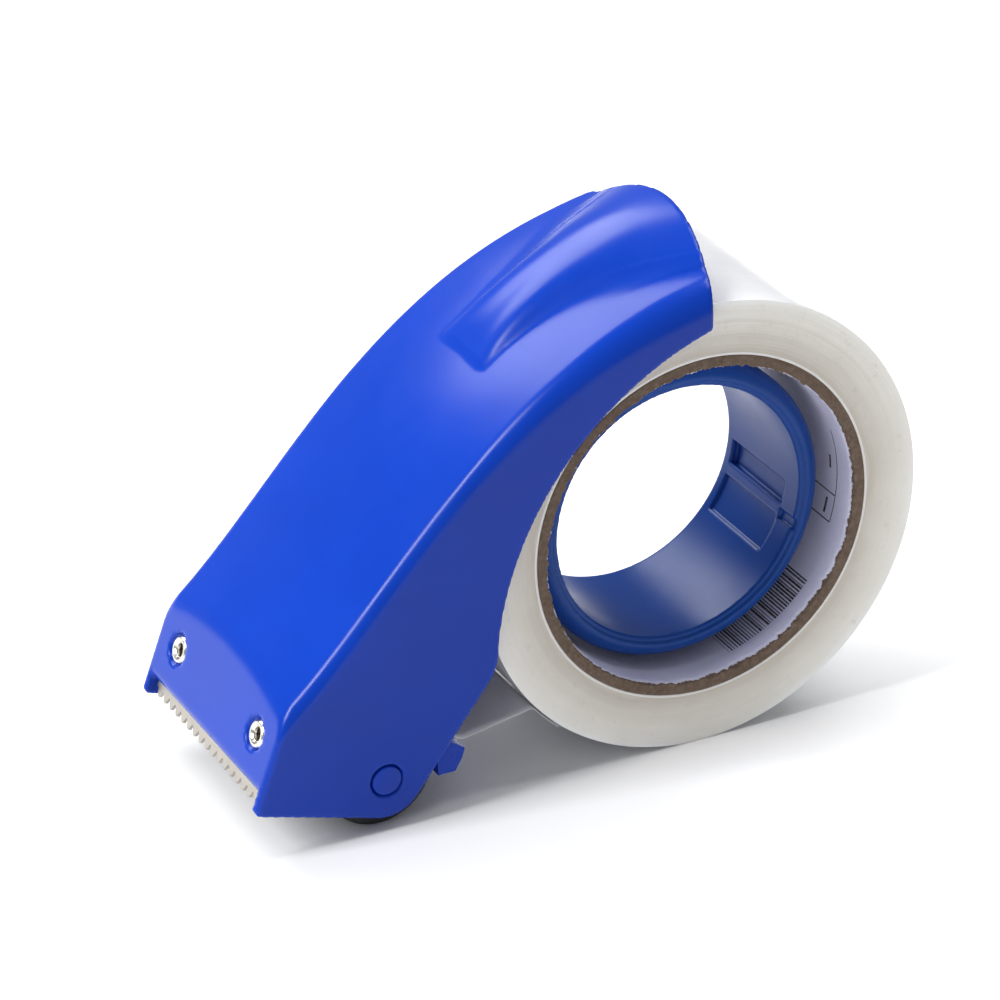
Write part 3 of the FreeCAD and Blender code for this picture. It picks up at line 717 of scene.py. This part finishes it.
def shell_field(x, y, z):
    """Signed distance of the moulded shell: roof, cheeks, hump and panel, hollowed and then trimmed."""
    dx = np.sqrt((x - XC) ** 2 + 1e-6)
    slope = np.sqrt(1.0 + graded(plain_roof, dx, y) ** 2)
    roof = (z - plain_roof(dx, y)) / slope
    share = np.clip((y + 60.0) / 50.0, 0.0, 1.0)
    core = both(roof, dx - HALF, 3.0 + 2.5 * share)
    hump = (hump_shape(dx, y, z) - 1.0) / np.maximum(graded(hump_shape, dx, y, z), 0.02)
    hump = hump + 0.9 * np.maximum(HUMP_NOSE_Y - y, 0.0)
    soft = 1.2 + 4.6 * np.clip((y + 40.0) / 26.0, 0.0, 1.0)
    core = merged(core, hump, soft)
    n = (y - PANEL_TOP[0]) * PANEL_IN[0] + (z - PANEL_TOP[1]) * PANEL_IN[1]
    s = (y - PANEL_TOP[0]) * PANEL_DIR[0] + (z - PANEL_TOP[1]) * PANEL_DIR[1]
    core = both(core, -n, 1.7)
    skin = np.abs(core + 0.5 * WALL) - 0.5 * WALL
    skin = both(skin, outline_distance(y, z, OUTLINE), 0.45)
    rear = (y + 0.8 - 5.3 * (1.0 - (dx / HALF) ** 2)) / 1.03
    skin = both(skin, rear, 0.5)
    lip = both(-n, s - LIP_S, 3.4)
    keep_ears = np.maximum(np.maximum(-lip, dx - (HALF - WALL)), n - WALL - 0.6)
    skin = both(skin, -keep_ears, 0.25)
    across = np.abs(dx - RIVET_X)
    from_rivet = np.hypot(across, s - RIVET_S)
    skin = both(skin, -np.maximum(from_rivet - RIVET_RECESS_R, n - RIVET_RECESS_DEPTH), 0.2)
    skin = both(skin, -np.maximum(from_rivet - RIVET_HOLE_R, n - 5.0), 0.1)
    from_axle = np.hypot(y - ROLLER[0], z - ROLLER[1])
    skin = both(skin, AXLE_HOLE_R - from_axle, 0.12)
    groove = np.maximum(from_axle - CAP_GROOVE_R, HALF - CAP_GROOVE_DEPTH - dx)
    skin = both(skin, -groove, 0.12)
    for place in SCREW_SPOTS:
        away = np.hypot(y - place[0], z - place[1])
        skin = np.maximum(skin, -np.maximum(away - SCREW_SEAT_R, x - FAR_OUT - SCREW_SEAT_DEPTH))
        skin = np.maximum(skin, -np.maximum(away - SCREW_HOLE_R, x))
    return skin


def make_shell(material):
    low = (FAR_OUT - 1.3, -110.9, -51.5)
    high = (NEAR_OUT + 1.3, 6.9, 74.0)
    points, faces = surface_net(shell_field, low, high, SHELL_STEP)
    return new_piece("shell_moulding", points, faces, "frame", material, ["shell"])


# ---------------------------------------------------------------- hub ring

def box_distance(u, v, u0, u1, v0, v1):
    du = np.maximum(u0 - u, u - u1)
    dv = np.maximum(v0 - v, v - v1)
    return np.maximum(du, dv)


def hub_field(x, y, z):
    """Signed distance of the hub: a ring with a rounded nose, a step and three shallow recesses."""
    dy, dz = y - HUB[0], z - HUB[1]
    radius = np.hypot(dy, dz)
    degrees = np.degrees(np.arctan2(dz, dy))
    arc = degrees * (math.pi / 180.0) * HUB_BORE_R
    ring = both(both(radius - HUB_R, x - HUB_NEAR_X, 3.8), HUB_FAR_X - x, 0.4)
    ring = both(ring, HUB_BORE_R - radius, 0.7)
    step = np.maximum(radius - HUB_STEP_R, HUB_STEP_X - x)
    ring = both(ring, -step, 0.25)
    inner = radius - HUB_BORE_R
    window = np.maximum(box_distance(arc, x, *HUB_WINDOW), inner - HUB_WINDOW_DEPTH)
    panel = np.maximum(box_distance(arc, x, *HUB_PANEL), inner - HUB_PANEL_DEPTH)
    ring = both(ring, -window, 0.2)
    ring = both(ring, -panel, 0.2)
    notch = np.maximum(box_distance(arc, x, *HUB_NOTCH), inner - HUB_NOTCH_DEPTH)
    return both(ring, -notch, 0.2)


def make_hub(material):
    low = (-15.3, HUB[0] - HUB_R - 0.9, HUB[1] - HUB_R - 0.9)
    high = (19.2, HUB[0] + HUB_R + 0.9, HUB[1] + HUB_R + 0.9)
    points, faces = surface_net(hub_field, low, high, HUB_STEP)
    return new_piece("hub_moulding", points, faces, "frame", material, ["hub_ring"])


# ---------------------------------------------------------------- roll of tape

def make_tape(face_material, film_material):
    """Wound tape whose side is made of slightly uneven turns."""
    rng = np.random.default_rng(11)
    rings = 72
    radii = np.linspace(CORE_R, ROLL_R - 0.12, rings)
    step = np.cumsum(rng.normal(0.0, 0.022, rings))
    step -= np.linspace(step[0], step[-1], rings)
    side = [(TAPE_HALF - 0.12 + s, r) for s, r in zip(np.clip(step, -0.12, 0.11), radii)]
    outer = [(TAPE_HALF - 0.16, ROLL_R - 0.02), (TAPE_HALF - 0.4, ROLL_R)]
    outer += [(x, ROLL_R) for x in np.linspace(20.0, -20.0, 9)]
    outer += [(-TAPE_HALF + 0.4, ROLL_R), (-TAPE_HALF + 0.16, ROLL_R - 0.02)]
    far = [(-x, r) for x, r in reversed(side)]
    outline = np.array(side + outer + far)
    segments = 288
    points, faces = lathe(outline, segments)
    angles = np.repeat(2.0 * math.pi * np.arange(segments) / segments, len(outline))
    share = (np.hypot(points[:, 1], points[:, 2]) - CORE_R) / (ROLL_R - CORE_R)
    sway = wave_round(angles, 5, (1, 3), (0.05, 0.03)) * share
    points[:, 0] += sway * np.sign(points[:, 0]) * (np.abs(points[:, 0]) > 24.0)
    faces = [face[::-1] for face in faces]
    piece = new_piece("tape_wound", points, faces, "roll", face_material, ["tape_roll"])
    piece.data.materials.append(film_material)
    first, last = len(side), len(side) + len(outer) - 1
    columns = len(outline)
    for number, polygon in enumerate(piece.data.polygons):
        if first <= number % columns < last:
            polygon.material_index = 1
    return piece


def make_core(material):
    """Board tube with softly frayed ends."""
    corners = [(-25.0, CORE_BORE_R), (25.0, CORE_BORE_R), (25.0, CORE_R), (-25.0, CORE_R)]
    outline = densify(rounded(corners, [0.25] * 4, 3), 0.55)
    ends = np.array([p for p in outline if abs(p[0]) > 21.0])
    segments = 900
    points, faces = lathe(ends, segments)
    angles = np.repeat(2.0 * math.pi * np.arange(segments) / segments, len(ends))
    radius = np.hypot(points[:, 1], points[:, 2])
    end = np.clip((np.abs(points[:, 0]) - 23.6) / 1.2, 0.0, 1.0)
    fray = wave_round(angles, 3, (7, 31, 83, 170), (0.10, 0.10, 0.10, 0.08))
    fray = fray + wave_round(angles + radius, 4, (57, 141), (0.05, 0.05))
    inner = np.clip((39.2 - radius) / 1.1, 0.0, 1.0)
    pull = np.clip(0.25 * fray + 0.05, -0.3, 0.22) * end
    points[:, 0] += np.sign(points[:, 0]) * np.minimum(pull * (0.5 + inner), 0.18)
    torn = wave_round(angles, 9, (23, 67, 151), (0.16, 0.16, 0.12))
    shift = -np.clip(torn, -0.22, 0.4) * inner * end
    scale = (radius + shift) / radius
    points[:, 1] *= scale
    points[:, 2] *= scale
    faces = [face[::-1] for face in faces]
    return new_piece("core_board_tube", points, faces, "roll", material, ["tape_core"])


def make_label(material):
    """Thin paper liner inside the core, its ends torn unevenly."""
    segments = 900
    columns = 40
    angles = 2.0 * math.pi * np.arange(segments) / segments
    near = 24.15 + np.clip(wave_round(angles, 21, (5, 29, 77, 163), (0.22, 0.2, 0.2, 0.16)), -0.7, 0.6)
    far = -24.15 + np.clip(wave_round(angles, 22, (5, 29, 77, 163), (0.22, 0.2, 0.2, 0.16)), -0.6, 0.7)
    points = []
    for layer, base_radius in ((0, 37.86), (1, 38.12)):
        for i, angle in enumerate(angles):
            xs = np.linspace(far[i], near[i], columns)
            bow = 0.03 * np.sin(angle * 9.0 + xs * 0.4)
            r = base_radius + (bow if layer == 0 else 0.0)
            reach = np.full(columns, r)
            points.append(np.stack([xs, reach * math.cos(angle), reach * math.sin(angle)], 1))
    points = np.concatenate(points)
    faces = []
    other = segments * columns
    for i in range(segments):
        ni = (i + 1) % segments
        for j in range(columns - 1):
            a, b, c, d = i * columns + j, i * columns + j + 1, ni * columns + j + 1, ni * columns + j
            faces.append((a, d, c, b))
            faces.append((other + a, other + b, other + c, other + d))
        a, b = i * columns, ni * columns
        faces.append((a, other + a, other + b, b))
        a, b = i * columns + columns - 1, ni * columns + columns - 1
        faces.append((a, b, other + b, other + a))
    return new_piece("label_liner", points, faces, "roll", material, ["core_label"])


def web_path():
    """Middle line of the free tape from the roll, over the guide bar and the roller, to the panel."""
    points = []
    for angle in np.linspace(229.0, 219.5, 8):
        a = math.radians(angle)
        points.append((53.775 * math.cos(a), 53.775 * math.sin(a)))
    points += [(-58.6, -37.5), (-61.6, -35.9)]
    for angle in np.linspace(62.0, 132.0, 22):
        a = math.radians(angle)
        reach = ROLLER_R + 0.475
        points.append((ROLLER[0] + reach * math.cos(a), ROLLER[1] + reach * math.sin(a)))
    points.append((-97.5, -38.6))
    return np.array(points)


def make_web(material):
    """The free tape as a thin sheet that follows its path, with slight ripples where it is free."""
    path = web_path()
    lengths = np.concatenate([[0.0], np.cumsum(np.linalg.norm(np.diff(path, axis=0), axis=1))])
    marks = np.linspace(0.0, lengths[-1], 150)
    line = np.stack([np.interp(marks, lengths, path[:, i]) for i in range(2)], 1)
    for _ in range(3):
        line[1:-1] = 0.25 * line[:-2] + 0.5 * line[1:-1] + 0.25 * line[2:]
    along = np.gradient(line, axis=0)
    along /= np.linalg.norm(along, axis=1, keepdims=True)
    normal = np.stack([-along[:, 1], along[:, 0]], 1)
    columns = 26
    xs = np.linspace(-TAPE_HALF, TAPE_HALF, columns)
    points = []
    for side in (-0.06, 0.06):
        for i, (point, up) in enumerate(zip(line, normal)):
            free = math.sin(math.pi * i / (len(line) - 1)) ** 2
            lift = side + 0.05 * free * np.sin(0.35 * xs + 0.25 * i)
            points.append(np.stack([xs, point[0] + up[0] * lift, point[1] + up[1] * lift], 1))
    points = np.concatenate(points)
    rows = len(line)
    other = rows * columns
    faces = []
    for i in range(rows - 1):
        for j in range(columns - 1):
            a, b = i * columns + j, (i + 1) * columns + j
            faces.append((a, a + 1, b + 1, b))
            faces.append((other + a, other + b, other + b + 1, other + a + 1))
        for j in (0, columns - 1):
            a, b = i * columns + j, (i + 1) * columns + j
            face = (a, b, other + b, other + a)
            faces.append(face if j == 0 else face[::-1])
    for i in (0, rows - 1):
        for j in range(columns - 1):
            a = i * columns + j
            face = (a, other + a, other + a + 1, a + 1)
            faces.append(face if i == 0 else face[::-1])
    return new_piece("tape_free", points, faces, "frame", material, ["tape_web"])


# ---------------------------------------------------------------- small parts

def panel_point(x, s, n):
    return (x, PANEL_TOP[0] + PANEL_DIR[0] * s + PANEL_IN[0] * n,
            PANEL_TOP[1] + PANEL_DIR[1] * s + PANEL_IN[1] * n)


def make_rivets(material):
    """Hollow rivets with a rolled head and a funnel-shaped mouth."""
    corners = [(1.05, 1.35), (0.45, 1.55), (0.0, 2.2), (0.02, 2.75), (0.5, 3.2), (0.86, 3.2), (0.86, 2.0),
               (5.6, 2.0), (5.9, 2.9), (6.4, 2.9), (6.4, 1.35)]
    radii = [0.3, 0.3, 0.25, 0.35, 0.15, 0.05, 0.05, 0.2, 0.1, 0.2, 0.2]
    outline = rounded(corners, radii, 4)
    points, faces = [], []
    segments = 72
    for x in (XC - RIVET_X, XC + RIVET_X):
        start = len(points)
        for i in range(segments):
            a = 2.0 * math.pi * i / segments
            for n, r in outline:
                points.append(panel_point(x + r * math.cos(a), RIVET_S + r * math.sin(a), n + 0.42))
        columns = len(outline)
        faces += [tuple(start + v for v in face) for face in ring_faces(segments, columns)]
    points = np.array(points)
    return new_piece("rivet_heads", points, faces, "frame", material, ["blade_rivets"])


def make_caps(material):
    """Slightly domed end caps with a pinched rim and a faint moulding mark."""
    points, faces = [], []
    segments = 96
    for side, face_x in ((1.0, NEAR_OUT), (-1.0, FAR_OUT)):
        outline = [(-5.2, 0.01), (-5.2, 3.2), (-3.0, 3.2), (-3.0, 4.7), (-2.25, 4.7), (-2.25, 3.4),
                   (-0.25, 3.4), (-0.08, 3.33), (0.02, 3.15), (0.10, 2.6), (0.17, 2.0), (0.22, 1.4),
                   (0.25, 0.9), (0.20, 0.62), (0.24, 0.4), (0.24, 0.01)]
        outline = [(side * x + face_x, r) for x, r in outline]
        ring, quads = lathe(outline, segments, ROLLER)
        start = len(points)
        points += ring.tolist()
        columns = len(outline)
        for i in range(segments):
            ni = (i + 1) % segments
            for j in range(columns - 1):
                quad = (start + i * columns + j, start + ni * columns + j, start + ni * columns + j + 1,
                        start + i * columns + j + 1)
                faces.append(quad[::-1] if side > 0 else quad)
        for j in (0, columns - 1):
            cap = [start + i * columns + j for i in range(segments)]
            faces.append(cap)
    points = np.array(points)
    return new_piece("axle_end_caps", points, faces, "frame", material, ["axle_caps"])


def make_sleeve(material):
    """Soft black roller sleeve with eased ends."""
    corners = [(-29.0, 10.2), (25.0, 10.2), (25.0, ROLLER_R), (-29.0, ROLLER_R)]
    outline = densify(rounded(corners, [0.3, 0.3, 0.7, 0.7], 5), 0.9)
    points, faces = lathe(outline, 144, ROLLER)
    faces = [face[::-1] for face in faces]
    return new_piece("roller_rubber_sleeve", points, faces, "roller", material,
                     ["roller_sleeve"])


def dress(node, material, edge, segments=2):
    """A CAD node shown as it is, with its material and softened edges."""
    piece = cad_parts[node]
    piece.data.materials.clear()
    piece.data.materials.append(material)
    bevel = piece.modifiers.new("eased", "BEVEL")
    bevel.width = edge * 0.001
    bevel.segments = segments
    bevel.limit_method = "ANGLE"
    bevel.angle_limit = math.radians(38.0)
    normal = piece.modifiers.new("weighted", "WEIGHTED_NORMAL")
    normal.keep_sharp = True


# ---------------------------------------------------------------- build

shell_blue = plastic("shell_blue", SHELL_BLUE)
hub_blue = plastic("hub_blue", HUB_BLUE, rough=(0.28, 0.38))
make_shell(shell_blue)
make_hub(hub_blue)
make_tape(tape_face_material(), tape_film_material())
make_core(cardboard_material())
make_label(label_material())
make_web(web_material())
steel = metal("blade_steel", (0.50, 0.47, 0.42), rough=(0.3, 0.46), stretch=(0.05, 1.0, 1.0))
make_rivets(metal("rivet_nickel", (0.74, 0.71, 0.64), rough=(0.16, 0.3)))
make_caps(plastic("cap_blue", SHELL_BLUE))
make_sleeve(rubber_material())
dress("blade", steel, 0.12)
dress("blade_backing", metal("backing_zinc", (0.5, 0.5, 0.5), stretch=(0.05, 1.0, 1.0)), 0.15)
dress("rivet_washers", metal("washer_zinc", (0.58, 0.57, 0.54)), 0.08)
dress("roller_axle", metal("axle_steel", (0.55, 0.55, 0.56), stretch=(0.05, 1.0, 1.0)), 0.15)
dress("arm_screws", metal("screw_zinc", (0.60, 0.60, 0.60)), 0.1)
dress("guide_bar", plastic("guide_blue", SHELL_BLUE), 0.4, 3)
dress("side_arm", plastic("arm_blue", HUB_BLUE, rough=(0.28, 0.38)), 0.5, 3)
dress("roller_core", plastic("tube_grey", (0.30, 0.30, 0.31)), 0.2)
dress("roller_bushes", plastic("bush_white", (0.66, 0.66, 0.64)), 0.2)

# ---------------------------------------------------------------- studio

def make_floor():
    mesh = bpy.data.meshes.new("floor")
    side = 4.0
    corners = [(-side, -side, 0), (side, -side, 0), (side, side, 0), (-side, side, 0)]
    mesh.from_pydata(corners, [], [(0, 1, 2, 3)])
    floor = bpy.data.objects.new("floor", mesh)
    bpy.context.scene.collection.objects.link(floor)
    mesh.materials.append(floor_material())


def aim(thing, target):
    direction = Vector(target) - thing.location
    thing.rotation_euler = direction.to_track_quat("-Z", "Y").to_euler()


def soft_light(name, place, size, power):
    """A rectangular lamp that points at the middle of the object."""
    data = bpy.data.lights.new(name, "AREA")
    data.shape = "RECTANGLE"
    data.size, data.size_y = size
    data.energy = power
    light = bpy.data.objects.new(name, data)
    bpy.context.scene.collection.objects.link(light)
    light.location = place
    aim(light, (0.0, 0.0, 0.06))


def make_world(strength):
    world = bpy.data.worlds.new("studio")
    world.use_nodes = True
    background = world.node_tree.nodes["Background"]
    background.inputs["Color"].default_value = (0.96, 0.98, 1.0, 1.0)
    background.inputs["Strength"].default_value = strength
    bpy.context.scene.world = world


def make_camera():
    azimuth, elevation = math.radians(CAMERA_AZIMUTH), math.radians(CAMERA_ELEVATION)
    back = Vector((math.sin(azimuth) * math.cos(elevation), -math.cos(azimuth) * math.cos(elevation),
                   math.sin(elevation)))
    right = Vector((0.0, 0.0, 1.0)).cross(back).normalized()
    up = back.cross(right)
    data = bpy.data.cameras.new("camera")
    data.sensor_width = 36.0
    data.lens = CAMERA_LENS
    data.clip_start = 0.05
    camera = bpy.data.objects.new("camera", data)
    bpy.context.scene.collection.objects.link(camera)
    rotation = Matrix((right, up, back)).transposed().to_4x4()
    place = Vector(placed(CAMERA_PLACE).tolist())
    camera.matrix_world = Matrix.Translation(place) @ rotation
    bpy.context.scene.camera = camera


make_floor()
make_world(0.32)
soft_light("key", (0.02, -1.00, 0.88), (0.35, 0.8), 17.0)
soft_light("side", (-0.95, -0.15, 1.05), (0.9, 0.7), 15.0)
soft_light("top", (-0.10, 0.65, 1.20), (0.7, 0.7), 9.0)
make_camera()
bpy.context.scene.view_settings.view_transform = "Standard"
